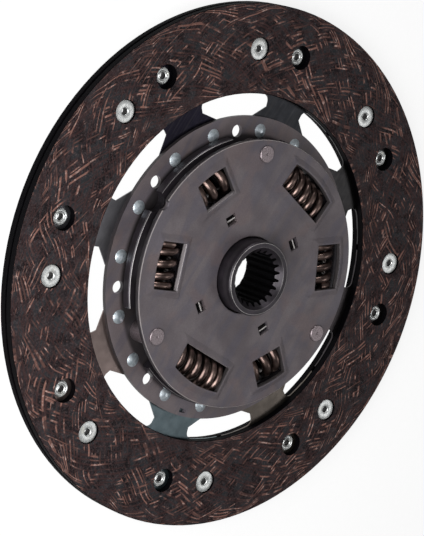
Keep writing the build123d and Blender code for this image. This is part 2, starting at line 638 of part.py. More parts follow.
def main():
    save("front_facing", front_facing())
    save("rear_facing", rear_facing())
    for index in range(SEGMENT_COUNT):
        save(f"cushion_segment_{index + 1}", cushion_segment(index))
    head_on_front = Pos(0, 0, FRONT_FACING_REAR_Z + FACING_SEAT_T)
    head_on_rear = Pos(0, 0, REAR_FACING_FRONT_Z - FACING_SEAT_T) * Rot(180, 0, 0)
    save("front_facing_rivets", facing_rivets(FRONT_RIVET_DEG, head_on_front))
    save("rear_facing_rivets", facing_rivets(REAR_RIVET_DEG, head_on_rear))
    save("segment_rivets", segment_rivets())
    save("retainer_plate", retainer_plate())
    save("cover_plate", cover_plate())
    for index, turn in enumerate(pin_angles(), start=1):
        save(f"stop_pin_{index}", stop_pin(turn))
    save("hub", hub())
    save_pair("long_spring", long_spring(), LONG_WINDOW_DEGS)
    save_pair("inner_spring", inner_spring(), LONG_WINDOW_DEGS)
    save_pair("medium_spring", medium_spring(), MEDIUM_WINDOW_DEGS)
    save_pair("short_spring", short_spring(), SHORT_WINDOW_DEGS)
    save("rear_friction_washer", rear_friction_washer())
    save("centring_bush", centring_bush())
    save("front_friction_washer", front_friction_washer())
    save("pressure_ring", pressure_ring())
    save("disc_spring", disc_spring())


if __name__ == "__main__":
    main()
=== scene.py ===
"""Finish of a clutch disc in Blender: facings, rivets, plates, hub, springs and a plain studio."""

import math

import bpy
from bpy.props import FloatProperty, FloatVectorProperty, IntProperty, PointerProperty
from mathutils import Matrix, Vector


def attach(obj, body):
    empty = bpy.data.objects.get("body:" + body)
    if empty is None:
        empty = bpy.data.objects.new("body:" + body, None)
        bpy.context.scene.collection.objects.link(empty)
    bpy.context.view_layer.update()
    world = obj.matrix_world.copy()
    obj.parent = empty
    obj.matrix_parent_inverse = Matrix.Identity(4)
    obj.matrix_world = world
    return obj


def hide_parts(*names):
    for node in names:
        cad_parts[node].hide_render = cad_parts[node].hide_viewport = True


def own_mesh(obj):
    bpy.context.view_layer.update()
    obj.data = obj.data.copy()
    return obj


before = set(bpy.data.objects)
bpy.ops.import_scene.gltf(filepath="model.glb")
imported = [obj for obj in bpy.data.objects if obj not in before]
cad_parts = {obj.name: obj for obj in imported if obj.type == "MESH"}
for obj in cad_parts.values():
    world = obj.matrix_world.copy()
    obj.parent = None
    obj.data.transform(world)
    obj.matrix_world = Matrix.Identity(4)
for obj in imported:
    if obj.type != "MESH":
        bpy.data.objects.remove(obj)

bl_info = {
    "name": "Clutch disc finish",
    "version": (1, 0, 0),
    "blender": (4, 5, 0),
    "location": "3D View > Sidebar > Clutch disc",
    "description": "Surface finish, coil springs, formed rivets and studio for the clutch disc",
    "category": "Object",
}

MM = 0.001
PLATE_BODY = "driven_plate"
SEGMENT_COUNT = 8
SEGMENT_PITCH = math.radians(360 / SEGMENT_COUNT)

# Tempering colours of the eight cushion segments, in their order round the disc
SEGMENT_TINTS = (
    "#626f74",
    "#655e58",
    "#413d3f",
    "#393839",
    "#38393d",
    "#26242f",
    "#6b6a6e",
    "#8a7b77",
)

# Facings and their rivets, in mm and degrees round the disc
FACE_MIDDLE_Z = 3.65  # halfway between the two friction faces
FRONT_SEAT_Z = 5.45
REAR_SEAT_Z = 1.85
FRONT_RIVET_DEG = 31.85
REAR_RIVET_DEG = 17.35
RIVET_CIRCLE_R = 99.8
RIVET_HEAD_R = 5.0
RIVET_BORE_R = 1.5
RIVET_SHANK_R = 2.6
RIVET_TAIL_R = 3.7
RIVET_GRIP = 1.9
RIVET_HEAD_T = 1.19
RIVET_TAIL_T = 0.82
RIVET_STEPS = 48
RIVET_RIPPLE = 0.09  # how far the rolled tail's rim waves in and out
RIVET_RIPPLES = 5  # waves in one turn of that rim
RIVET_SPIN = 1.7  # turn of the waves from one rivet to the next, in radians

# Wound yarn of the facings
REACH_LIMIT = 0.985  # share of the swing at which the yarns turn back
LANES_LIMIT = 0.62  # yarns that crowd closer than this many to 1 mm are drawn narrower
YARNS_TOGETHER = 3  # neighbours that mostly come to the surface together

# Side plates and hub, in mm
COVER_RIM_R = 61.3
COVER_FRONT_Z = 18.36
RETAINER_RIM_R = 69.8
RETAINER_FRONT_Z = 6.0
COVER_SHADE_R = 61.5  # painted shade darkens the retainer plate inside this radius
WINDOW_INNER_R = 38.5
WINDOW_OUTER_R = 56.0
HUB_MOUTH_R = 14.3
HUB_MOUTH_EDGE = 0.3  # width over which the painted shade on the splines ends
HUB_FRONT_Z = 26.2
# Radius and height of the hub's bright corners, part wear and part painted highlight, and how much
# of that bright each gets
HUB_WEAR_AND_HIGHLIGHT_CORNERS = (
    (16.3, HUB_FRONT_Z, 0.9),
    (HUB_MOUTH_R, HUB_FRONT_Z, 0.2),
    (61.5, 12.4, 0.5),
)

# Damper springs, in mm and degrees round the disc
LONG_DEGS = (5.0, 175.0)
MEDIUM_DEGS = (125.0, 295.0)
SHORT_DEGS = (55.0, 245.0)
SPRING_LINE_R = 46.7
SPRING_Z = 10.1
SPRING_OUTER_D = 17.6
INNER_SPRING_OUTER_D = 10.6
WIRE_SIDES = 18
CLOSED_TURNS = 0.55  # turns that lie closed at each end
CLOSED_RISE = 0.35  # rise of a closed turn, in thicknesses of the wire
END_INSET = 0.3  # middle of the wire inside the ground end, in thicknesses of the wire

SLOPE_SHARE = 0.35  # how much a shallow slope of pressed sheet shows
CRISP_DEG = 40.0  # corners sharper than this stay crisp on the formed pieces
DOME_CRISP_DEG = 30.0

# Studio, in m, W and degrees
FLOOR_DROP = 0.0002  # floor below the rear facing, so that the two don't touch
LIGHT_TARGET = (0.0, 0.0, 0.01)
# Square soft lights: name, place, width and power
LIGHTS = (
    ("soft_top", (0.0, 0.0, 1.2), 1.0, 0.77),
    ("soft_key", (0.22, -0.26, 0.28), 0.38, 2.7),
    ("soft_sheen", (-0.25, 0.88, 1.0), 0.5, 1.4),
    ("soft_side", (-0.75, -0.45, 0.32), 0.25, 1.8),
)
WORLD_FILL = 0.13  # strength of the world as light; it is plain white to the camera
FLOOR_WHITE = 0.84  # share of plain white in the floor
PANEL_WHITE = 0.15  # share that the lit panel under the disc adds
PANEL_INNER_R = 100.0  # the panel is fully lit to here, in mm
PANEL_OUTER_R = 116.0  # and ends here, under the facing
CAMERA_PLACE = (0.18313, -0.64934, 0.74096)
CAMERA_TURNS = ((15.75, "Z"), (42.6, "X"), (109.25, "Z"))  # each about the axes of the last
CAMERA_SENSOR_MM = 36
CAMERA_LENS_MM = 149.03
CAMERA_SHIFT = (-0.0374, 0.0030)
CAMERA_NEAR = 0.05


def linear(code):
    """A colour code as linear RGBA."""
    channels = [int(code[i : i + 2], 16) / 255 for i in (1, 3, 5)]
    return [c / 12.92 if c <= 0.04045 else ((c + 0.055) / 1.055) ** 2.4 for c in channels] + [1.0]


def add(tree, kind, inputs=None, **settings):
    """Add a shader node; each input is a constant or the output of another node."""
    node = tree.nodes.new(kind)
    for name, value in settings.items():
        setattr(node, name, value)
    for socket, value in (inputs or {}).items():
        if isinstance(value, Field):
            value = value.socket
        if isinstance(value, bpy.types.NodeSocket):
            tree.links.new(value, node.inputs[socket])
        else:
            node.inputs[socket].default_value = value
    return node


class Field:
    """A number that varies over a surface. Arithmetic on it adds math nodes."""

    def __init__(self, tree, socket):
        self.tree = tree
        self.socket = socket

    def math(self, operation, *others):
        inputs = dict(enumerate((self, *others)))
        node = add(self.tree, "ShaderNodeMath", inputs, operation=operation)
        return Field(self.tree, node.outputs[0])

    def __add__(self, other):
        return self.math("ADD", other)

    def __sub__(self, other):
        return self.math("SUBTRACT", other)

    def __mul__(self, other):
        return self.math("MULTIPLY", other)

    def __truediv__(self, other):
        return self.math("DIVIDE", other)

    def __pow__(self, other):
        return self.math("POWER", other)

    def flipped(self):
        """One minus the field."""
        return self.math("MULTIPLY_ADD", -1.0, 1.0)

    def between(self, low, high):
        """Rises smoothly from 0 where the field is low to 1 where it is high."""
        node = add(
            self.tree,
            "ShaderNodeMapRange",
            {"Value": self, "From Min": low, "From Max": high},
            interpolation_type="SMOOTHSTEP",
        )
        return Field(self.tree, node.outputs[0])


class Surface:
    """The node tree of one new material, with its coordinates in mm."""

    def __init__(self, name):
        self.material = bpy.data.materials.new(name)
        self.material.use_nodes = True
        self.tree = self.material.node_tree
        self.tree.nodes.clear()
        coordinates = add(self.tree, "ShaderNodeTexCoord").outputs["Object"]
        scaled = add(
            self.tree,
            "ShaderNodeVectorMath",
            {0: coordinates, "Scale": 1 / MM},
            operation="SCALE",
        )
        self.place = scaled.outputs[0]
        self.x, self.y, self.z = self.split(self.place)

    def split(self, vector):
        node = add(self.tree, "ShaderNodeSeparateXYZ", {0: vector})
        return [Field(self.tree, socket) for socket in node.outputs]

    def join(self, x, y, z):
        return add(self.tree, "ShaderNodeCombineXYZ", {0: x, 1: y, 2: z}).outputs[0]

    def radius(self):
        """Distance from the disc's axis in mm."""
        return (self.x * self.x + self.y * self.y).math("SQRT")

    def direction(self):
        """The way the surface faces, as three fields."""
        return self.split(add(self.tree, "ShaderNodeNewGeometry").outputs["Normal"])

    def noise(self, size, detail=2.0, roughness=0.5, vector=None, distortion=0.0):
        """Cloudy field whose features are about size mm across."""
        node = add(
            self.tree,
            "ShaderNodeTexNoise",
            {
                "Vector": vector or self.place,
                "Scale": 1 / size,
                "Detail": detail,
                "Roughness": roughness,
                "Distortion": distortion,
            },
        )
        return Field(self.tree, node.outputs["Fac"])

    def random(self, number):
        """A different fixed number from 0 to 1 for each whole number."""
        node = add(self.tree, "ShaderNodeTexWhiteNoise", {"W": number}, noise_dimensions="1D")
        return Field(self.tree, node.outputs["Value"])

    def mix(self, share, first, second):
        """Blend of two colours, each a code, a colour setting or a socket."""
        values = [linear(c) if isinstance(c, str) else c for c in (first, second)]
        node = add(
            self.tree,
            "ShaderNodeMix",
            {0: share, 6: values[0], 7: values[1]},
            data_type="RGBA",
        )
        return node.outputs[2]

    def finish(
        self, colour, roughness, metallic=0.0, height=None, depth=0.05, bend=None, **shader
    ):
        """Close the tree with a shader; height of 1 stands depth mm proud.

        bend rounds every corner over that many mm, as sheet bends round a press tool, and
        lets a shallow pressed slope catch only a share of the light's change.
        """
        values = {"Base Color": colour, "Roughness": roughness, "Metallic": metallic, **shader}
        if bend is not None:
            rounded = add(self.tree, "ShaderNodeBevel", {"Radius": bend * MM}, samples=8)
            shallow = add(
                self.tree,
                "ShaderNodeVectorMath",
                {0: rounded.outputs[0], 1: (SLOPE_SHARE, SLOPE_SHARE, 1.0)},
                operation="MULTIPLY",
            )
            level = add(
                self.tree,
                "ShaderNodeVectorMath",
                {0: shallow.outputs[0]},
                operation="NORMALIZE",
            )
            values["Normal"] = level.outputs[0]
        if height is not None:
            bump = add(
                self.tree,
                "ShaderNodeBump",
                {"Height": height, "Distance": depth * MM, "Strength": 1.0},
            )
            if bend is not None:
                self.tree.links.new(values["Normal"], bump.inputs["Normal"])
            values["Normal"] = bump.outputs[0]
        principled = add(self.tree, "ShaderNodeBsdfPrincipled", values)
        add(self.tree, "ShaderNodeOutputMaterial", {"Surface": principled.outputs[0]})
        return self.material


def yarn_layer(surface, radius, angle, settings, way):
    """Yarns that wind outwards (way 1) or inwards (way -1) as they go round the facing.

    A yarn's radius swings as sin(pi / 2 * sin(phase)), so it turns back in a long arc at each
    edge. Gives the yarn at the surface, the yarn just under it, and a tone for each yarn.
    """
    swing = settings.yarn_swing
    turns = settings.yarn_waves
    count = settings.yarn_count
    # Place across the facing: -1 and 1 where the yarns turn back
    reach = (radius - settings.facing_middle_r) / swing
    reach = reach.math("MAXIMUM", -REACH_LIMIT).math("MINIMUM", REACH_LIMIT)
    edge = reach.math("ABSOLUTE").between(0.45, 0.85)
    flat = reach.math("ARCSINE") * (2 / math.pi)
    phase = flat.math("ARCSINE") * way - angle * turns
    # Number of the yarn at this spot; the hundred added turns keep the lane above 0
    lane = phase * (count / math.tau) + count * 100
    index = lane.math("FLOOR")
    number = (index + 0.5).math("MODULO", count) + way * 2 * count
    # Distance from the yarn's middle line in mm, and half of its own width
    lean = ((reach * reach).flipped() * (flat * flat).flipped()).math("SQRT") * (math.pi / 2)
    slope = (lean * swing) ** -2.0 + (radius / turns) ** -2.0
    lanes_per_mm = (slope.math("SQRT") * (count / math.tau)).math("MINIMUM", LANES_LIMIT)
    sway = surface.random(number) * 0.6 - 0.3
    across = ((lane - index - 0.5 - sway) / lanes_per_mm).math("ABSOLUTE")
    half = (surface.random(number + 0.21) * 0.8 + 0.6) * (settings.yarn_width / 2)
    line = (across / half).between(0.45, 1.3).flipped()
    # Stretches where it comes to the surface, short inside the facing and long at its edges
    bundle = (number / YARNS_TOGETHER).math("FLOOR") * 17.0
    together = surface.join(surface.x, surface.y, bundle)
    alone = surface.join(surface.x, surface.y, number * 23.0)
    short = surface.noise(11.0, detail=0.5, vector=together).between(0.46, 0.50)
    long = surface.noise(20.0, detail=0.5, vector=together).between(0.44, 0.48)
    broken = (surface.noise(8.0, detail=0.5, vector=alone) + edge * 0.12).between(0.41, 0.47)
    few = (surface.random(number + 0.63) - edge * 0.35).between(0.0, 0.04)
    thick = surface.noise(16.0, detail=1.0).between(0.34, 0.46)
    shown = (short * edge.flipped() + long * edge) * broken * few * thick
    sunk = surface.noise(7.0, detail=1.0, vector=alone).between(0.38, 0.56)
    return line * shown, line * sunk, surface.random(number + 0.37)


def facing_compound(settings, colours):
    """Wound friction facing: yarn with copper wire wound through dark resin, then ground flat.

    Copper-brown dashes show where a yarn comes to the surface: long arcs where the yarns turn
    back near both edges, short crossing ones between, over a dull dark matrix. Edges, holes and
    the faces between the two facings are painted near black: partly the dark resin of the cut
    edges, partly painted shade in the holes and in the gap between the facings.
    """
    surface = Surface("facing_compound_wound_yarn")
    # The winding isn't exact: the yarns' paths wander by a few mm
    drift = surface.noise(24.0, detail=0.0) * 9.0 - 4.5
    wobble = surface.noise(9.0, detail=0.0) * 1.0 - 0.5
    x = surface.x + drift + wobble
    y = surface.y - drift + wobble
    radius = (x * x + y * y).math("SQRT")
    angle = y.math("ARCTAN2", x)
    # Where the two layers cross, now one and now the other lies on top
    weave = surface.noise(7.5, detail=0.5)
    on_top = weave.between(0.47, 0.53)
    outward, outward_sunk, outward_tone = yarn_layer(surface, radius, angle, settings, 1)
    inward, inward_sunk, inward_tone = yarn_layer(surface, radius, angle, settings, -1)
    outward = outward * weave.between(0.44, 0.50)
    inward = inward * weave.between(0.50, 0.56).flipped()
    yarn = outward.math("MAXIMUM", inward)
    sunk = outward_sunk.math("MAXIMUM", inward_sunk)
    tone = outward_tone * on_top + inward_tone * on_top.flipped()
    grain = surface.noise(0.7, detail=3.0, roughness=0.7)
    patches = surface.noise(6.0, detail=3.0)
    cool = surface.noise(7.0, detail=3.0)
    painted_glint = surface.noise(1.6, detail=1.0)
    matrix = surface.mix(patches.between(0.40, 0.62), colours.resin, colours.resin_worn)
    matrix = surface.mix(cool.between(0.50, 0.58) * 0.8, matrix, "#24272a")
    matrix = surface.mix(grain.between(0.47, 0.70) * 0.75, matrix, "#4a4041")
    matrix = surface.mix(sunk * 0.65, matrix, "#3a2726")
    copper = surface.mix(tone.between(0.1, 0.9), colours.yarn, colours.yarn_copper)
    # Painted highlight: pale pink glints laid on the copper yarn
    copper = surface.mix(painted_glint.between(0.54, 0.70) * tone * 0.8, copper, "#b89e96")
    # Only the two flat friction faces are ground down to the yarn
    upright = surface.direction()[2].math("ABSOLUTE").between(0.90, 0.98)
    outside = (surface.z - FACE_MIDDLE_Z).math("ABSOLUTE").between(3.0, 3.3)
    face = upright * outside
    colour = surface.mix(yarn * face, matrix, copper)
    # Off the friction faces everything is painted near black: the cut resin's own dark, and
    # painted shade in the holes and between the facings
    colour = surface.mix(face.flipped(), colour, "#060507")
    height = (yarn * 0.6 + grain * 0.4) * face
    gloss = face * 0.08 + 0.03
    return surface.finish(
        colour, roughness=0.62, height=height, depth=0.08, **{"Specular IOR Level": gloss}
    )


def rivet_steel(colours):
    """Zinc-plated soft steel, tumbled before riveting: pale, dull and finely mottled."""
    surface = Surface("facing_rivet_zinc_plate")
    mottle = surface.noise(0.9, detail=3.0)
    stain = surface.noise(4.0, detail=2.0)
    colour = surface.mix(mottle.between(0.35, 0.65), colours.rivet, colours.rivet_mottle)
    colour = surface.mix(stain.between(0.58, 0.75) * 0.4, colour, "#c9c4b2")
    return surface.finish(colour, roughness=0.34, metallic=0.75, height=mottle, depth=0.012)


def shaded_bore_steel():
    """Inside of a rivet's bore, painted near black: painted shade down the narrow bore."""
    surface = Surface("facing_rivet_bore_shaded")
    painted_shade = surface.noise(0.6, detail=2.0)
    # Painted shade: the bore's wall is painted near black, with a faint mottle
    colour = surface.mix(painted_shade.between(0.35, 0.7), "#1b1a1b", "#3a3838")
    return surface.finish(colour, roughness=0.55, metallic=0.5, height=painted_shade, depth=0.02)


def dome_steel(colours):
    """Bright zinc on the domed rivets, smooth from the heading tool, so each holds a highlight."""
    surface = Surface("segment_rivet_bright_zinc")
    mottle = surface.noise(1.2, detail=2.0)
    colour = surface.mix(mottle.between(0.35, 0.7), colours.dome, colours.dome_mottle)
    return surface.finish(colour, roughness=0.3, metallic=0.8, height=mottle, depth=0.012)


def tempered_steel(name, tint):
    """Rolled spring strip, hardened and tempered: oxide colours with faint rolling lines.

    Real rolling lines are finer; they are drawn about 1 mm wide so that they show.
    """
    surface = Surface(name)
    cloud = surface.noise(11.0, detail=3.0)
    rolled = surface.join(surface.x * 0.05, surface.y, surface.z)
    lines = surface.noise(1.0, detail=2.0, vector=rolled)
    darker = surface.mix(0.45, tint, "#000000")
    colour = surface.mix(cloud.between(0.40, 0.70) * 0.5, tint, darker)
    colour = surface.mix(lines.between(0.45, 0.7) * 0.05, colour, "#8a8480")
    roughness = surface.noise(4.0).math("MULTIPLY_ADD", 0.2, 0.3)
    return surface.finish(colour, roughness, metallic=1.0, height=lines, depth=0.01)


def plate_steel(name, base, light, rim_r, front_z, edge_highlight=0.0, bend=None, shade_r=0.0):
    """Pressed steel with an oiled phosphate finish: a fine dull grain, clouded by oil.

    Phosphate crystals are too fine to show, so the grain is drawn about half a mm coarse.
    Long soft streaks follow the rolling of the sheet. A thin bright line, a painted highlight,
    lies on the front corner of the rim, rim_r mm from the axis and front_z mm up, as strong as
    the share given after front_z. The rim's own edge is painted near black, painted shade. In
    the spring windows the walls that face outwards are painted light, a painted highlight, and
    the others dark, painted shade. Inside the radius given last the plate is painted near
    black: painted shade under the cover plate's edge.
    """
    surface = Surface(name)
    grain = surface.noise(0.55, detail=3.0, roughness=0.65)
    cloud = surface.noise(20.0, detail=3.0, roughness=0.55)
    rolled = surface.join(surface.x * 0.22, surface.y, surface.z)
    streak = surface.noise(6.0, detail=3.0, vector=rolled, distortion=0.4)
    film = surface.noise(13.0, detail=2.0)
    colour = surface.mix(cloud.between(0.35, 0.65), base, light)
    colour = surface.mix(streak.between(0.45, 0.62) * 0.45, colour, "#4e4c58")
    colour = surface.mix(film.between(0.52, 0.64) * 0.35, colour, "#6b5a58")
    colour = surface.mix(grain.between(0.3, 0.75) * 0.3, colour, "#3f3a3b")
    radius = surface.radius()
    # Painted highlight: a thin bright line along the front corner of the rim
    corner = (radius - rim_r + 0.2).math("ABSOLUTE").between(0.10, 0.22).flipped()
    highlighted_corner = corner * surface.z.between(front_z - 0.3, front_z - 0.1)
    colour = surface.mix(highlighted_corner * edge_highlight, colour, "#a8a29f")
    # Painted shade: near black inside the given radius, under the cover plate's edge
    painted_shade = radius.between(shade_r - 1.0, shade_r + 1.5).flipped()
    colour = surface.mix(painted_shade * 0.85, colour, "#0e0c0d")
    across, along, upright = surface.direction()
    wall = upright.math("ABSOLUTE").between(0.2, 0.5).flipped()
    outward = ((across * surface.x + along * surface.y) / radius).between(0.6, 0.8)
    rim = radius.between(rim_r - 1.2, rim_r - 0.8)
    past_inner = radius.between(WINDOW_INNER_R - 0.5, WINDOW_INNER_R + 0.5)
    past_outer = radius.between(WINDOW_OUTER_R - 0.5, WINDOW_OUTER_R + 0.5)
    windows = past_inner * past_outer.flipped()
    # Painted shade: the walls of the spring windows are painted dark
    colour = surface.mix(wall * windows, colour, "#3c3839")
    # Painted highlight: the window walls that face outwards are painted light
    colour = surface.mix(wall * windows * outward * 0.9, colour, "#979193")
    # Painted shade: the rim's own edge is painted near black
    colour = surface.mix(wall * rim * 0.8, colour, "#1d1a1b")
    roughness = surface.noise(6.0, detail=2.0).math("MULTIPLY_ADD", 0.2, 0.38)
    return surface.finish(colour, roughness, metallic=0.3, height=grain, depth=0.02, bend=bend)


def hub_steel(colours):
    """Forged and turned hub, blackened: fine tool rings on the end face, bright corners that are
    part wear, part painted highlight.

    The splines are painted near black and without gloss: painted shade down the bore. The
    rings are drawn a little coarser than the feed of the tool, so that they show.
    """
    surface = Surface("hub_turned_steel")
    radius = surface.radius()
    turned = surface.join(radius, 0.0, surface.z * 0.2)
    rings = surface.noise(0.35, detail=2.0, vector=turned)
    cloud = surface.noise(7.0, detail=3.0)
    colour = surface.mix(cloud.between(0.35, 0.65), colours.hub, colours.hub_cloud)
    colour = surface.mix(rings.between(0.45, 0.7) * 0.3, colour, "#4d494c")
    for edge_r, edge_z, wear_and_highlight in HUB_WEAR_AND_HIGHLIGHT_CORNERS:
        beside = (radius - edge_r).math("ABSOLUTE").between(0.04, 0.14).flipped()
        level = (surface.z - edge_z).math("ABSOLUTE").between(0.15, 0.3).flipped()
        # Bright corners: part wear, part painted highlight
        colour = surface.mix(beside * level * wear_and_highlight, colour, "#a7a3a2")
    wall = surface.direction()[2].between(0.35, 0.6).flipped()
    bore = radius.between(HUB_MOUTH_R, HUB_MOUTH_R + HUB_MOUTH_EDGE).flipped() * wall
    # Painted shade: the spline walls are painted near black, with little gloss
    colour = surface.mix(bore * 0.95, colour, "#030304")
    gloss = bore.flipped() * 0.45 + 0.05
    roughness = bore * 0.5 + 0.38
    return surface.finish(
        colour, roughness, metallic=0.6, height=rings, depth=0.02, **{"Specular IOR Level": gloss}
    )


def spring_wire_steel(colours):
    """Oil-tempered chrome-silicon wire, shot peened: copper-brown, satin, faintly dimpled.

    The coils are painted black towards their lower side down inside the damper, painted shade;
    only the crowns keep the wire's colour.
    The dimples are drawn wider than the shot leaves them, so that they show.
    """
    surface = Surface("damper_spring_peened_wire")
    dimples = surface.noise(0.45, detail=2.0)
    tarnish = surface.noise(5.0, detail=2.0)
    colour = surface.mix(tarnish.between(0.35, 0.65), colours.wire, colours.wire_tarnish)
    colour = surface.mix(dimples.between(0.55, 0.8) * 0.35, colour, "#b7a299")
    # Painted shade: the wire is painted black towards its lower side, below the crown
    crown = (surface.z - SPRING_Z).between(-1.0, SPRING_OUTER_D / 2 - 0.4)
    colour = surface.mix(crown.flipped(), colour, "#070504")
    return surface.finish(colour, roughness=0.3, metallic=1.0, height=dimples, depth=0.015)


def pin_steel():
    """Riveted-over pin heads under the same phosphate, polished a little by the snap tool.

    The phosphate's grain is drawn coarse, as on the plates.
    """
    surface = Surface("stop_pin_phosphate")
    grain = surface.noise(0.5, detail=3.0)
    colour = surface.mix(grain.between(0.35, 0.7), "#8f8588", "#776c6f")
    return surface.finish(colour, roughness=0.4, metallic=0.9, height=grain, depth=0.04)


def friction_plastic():
    """Moulded friction plastic of the bush and washers, brown-black and slightly waxy."""
    surface = Surface("friction_plastic_moulded")
    grain = surface.noise(0.8, detail=2.0)
    colour = surface.mix(grain.between(0.35, 0.7), "#2c2522", "#3a322d")
    return surface.finish(colour, roughness=0.5, height=grain, depth=0.02)


def pressed_steel():
    """Bright sheared edges of the pressure ring's lugs and the disc spring."""
    surface = Surface("pressed_spring_strip")
    grain = surface.noise(0.6, detail=2.0)
    colour = surface.mix(grain.between(0.35, 0.7), "#a8a5a3", "#7e7a79")
    return surface.finish(colour, roughness=0.32, metallic=1.0, height=grain, depth=0.02)


def paint(nodes, material):
    """Give CAD nodes one material."""
    for name in nodes:
        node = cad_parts[name]
        node.data.materials.clear()
        node.data.materials.append(material)


def smooth(mesh, crisp_deg):
    """Shade round faces smooth and leave corners sharper than crisp_deg crisp."""
    mesh.shade_smooth()
    mesh.set_sharp_from_angle(angle=math.radians(crisp_deg))


def mesh_object(name, vertices, faces, material):
    """A new smooth-shaded piece whose vertices are in mm in the row frame."""
    mesh = bpy.data.meshes.new(name)
    mesh.from_pydata([[c * MM for c in vertex] for vertex in vertices], [], faces)
    mesh.validate()
    mesh.materials.append(material)
    piece = bpy.data.objects.new(name, mesh)
    bpy.context.scene.collection.objects.link(piece)
    smooth(mesh, CRISP_DEG)
    return piece


def lathe(profile, steps, ripple):
    """Turn a closed outline round its axis; ripple says how far its rim stands out at an angle.

    The outline's points are (radius, height, share of the ripple).
    """
    vertices = []
    faces = []
    count = len(profile)
    for step in range(steps):
        angle = math.tau * step / steps
        for radius, height, wave in profile:
            turned = radius + wave * ripple(angle)
            vertices.append((turned * math.cos(angle), turned * math.sin(angle), height))
        for point in range(count):
            after = (step + 1) % steps
            beside = (point + 1) % count
            faces.append(
                (
                    step * count + point,
                    after * count + point,
                    after * count + beside,
                    step * count + beside,
                )
            )
    return vertices, faces


def rivet_profile():
    """Outline of a hollow rivet for lathe, with the underside of its head at height 0.

    It starts at the mouth of the bore and runs over the head, down the shank and round the
    rolled tail. Its last side is the wall of the bore.
    """
    head = RIVET_HEAD_T
    grip = -RIVET_GRIP
    bore = RIVET_BORE_R
    tail_r = RIVET_TAIL_R
    return [
        (bore, head - 0.6, 0),
        (bore + 0.08, head - 0.35, 0),
        (bore + 0.3, head - 0.1, 0),
        (bore + 0.6, head, 0),
        (RIVET_HEAD_R - 0.35, head, 0),
        (RIVET_HEAD_R - 0.1, head - 0.1, 0),
        (RIVET_HEAD_R, head - 0.35, 0),
        (RIVET_HEAD_R, 0.0, 0),
        (RIVET_SHANK_R, 0.0, 0),
        (RIVET_SHANK_R, grip, 0),
        (tail_r - 0.25, grip - 0.02, 0),
        (tail_r, grip - 0.25, 1),
        (tail_r - 0.08, grip - 0.5, 1),
        (tail_r - 0.35, grip - 0.66, 1),
        (tail_r - 0.65, grip - 0.6, 0.5),
        (tail_r - 0.85, grip - 0.4, 0),
        (bore + 1.0, grip - 0.4, 0),
        (bore + 0.8, grip - 0.66, 0),
        (bore + 0.5, grip - RIVET_TAIL_T, 0),
        (bore + 0.2, grip - 0.7, 0),
        (bore, grip - 0.35, 0),
    ]


def rivet_ring(name, first_deg, seat_z, flip, material, dark):
    """Eight hollow rivets on their circle, each turned a little differently."""
    vertices = []
    faces = []
    profile = rivet_profile()
    for index in range(SEGMENT_COUNT):
        turn = math.radians(first_deg) + index * SEGMENT_PITCH
        spin = RIVET_SPIN * index
        part, quads = lathe(
            profile,
            RIVET_STEPS,
            lambda angle, spin=spin: RIVET_RIPPLE * math.cos(RIVET_RIPPLES * angle + spin),
        )
        place = (
            Matrix.Rotation(turn, 4, "Z")
            @ Matrix.Translation((RIVET_CIRCLE_R, 0, seat_z))
            @ Matrix.Rotation(math.pi if flip else 0.0, 4, "X")
        )
        start = len(vertices)
        vertices += [tuple(place @ Vector(v)) for v in part]
        faces += [tuple(start + i for i in quad) for quad in quads]
    piece = mesh_object(name, vertices, faces, material)
    piece.data.materials.append(dark)
    for polygon in piece.data.polygons:
        if polygon.index % len(profile) == len(profile) - 1:
            polygon.material_index = 1
    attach(piece, PLATE_BODY)
    return piece


def coil_height(turn, turns, length, wire):
    """Height of the wire's middle after turn of turns: closed at both ends, even between."""
    low = -length / 2 + wire * END_INSET
    span = length - wire * 2 * END_INSET
    closed = CLOSED_TURNS
    lift = wire * CLOSED_RISE * closed
    if turn < closed:
        share = turn / closed * lift
    elif turn > turns - closed:
        share = span - (turns - turn) / closed * lift
    else:
        share = lift + (turn - closed) / (turns - 2 * closed) * (span - 2 * lift)
    return low + share


def coil_spring(name, kind, turn_deg, start_deg, settings, material):
    """Coil spring with closed, ground ends that lies along its window."""
    rings = int(kind.turns * settings.spring_steps)
    length = kind.length
    mean = (kind.outer_d - kind.wire) / 2
    place = (
        Matrix.Rotation(math.radians(turn_deg), 4, "Z")
        @ Matrix.Translation((SPRING_LINE_R, 0, SPRING_Z))
        @ Matrix.Rotation(math.pi / 2, 4, "X")
    )
    points = []
    for ring in range(rings + 1):
        turn = kind.turns * ring / rings
        angle = math.radians(start_deg) + math.tau * turn
        height = coil_height(turn, kind.turns, length, kind.wire)
        points.append(Vector((mean * math.cos(angle), mean * math.sin(angle), height)))
    vertices = []
    for ring, point in enumerate(points):
        outward = Vector((point.x, point.y, 0)).normalized()
        before = points[max(ring - 1, 0)]
        after = points[min(ring + 1, rings)]
        side = (after - before).normalized().cross(outward).normalized()
        for step in range(WIRE_SIDES):
            angle = math.tau * step / WIRE_SIDES
            spot = point + (outward * math.cos(angle) + side * math.sin(angle)) * kind.wire / 2
            spot.z = max(-length / 2, min(length / 2, spot.z))
            vertices.append(tuple(place @ spot))
    faces = []
    for ring in range(rings):
        near = ring * WIRE_SIDES
        far = near + WIRE_SIDES
        for step in range(WIRE_SIDES):
            beside = (step + 1) % WIRE_SIDES
            faces.append((near + step, far + step, far + beside, near + beside))
    faces.append(tuple(reversed(range(WIRE_SIDES))))
    faces.append(tuple(rings * WIRE_SIDES + step for step in range(WIRE_SIDES)))
    piece = mesh_object(name, vertices, faces, material)
    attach(piece, kind.body)
    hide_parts(name.replace("coil_", ""))
    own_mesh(piece)


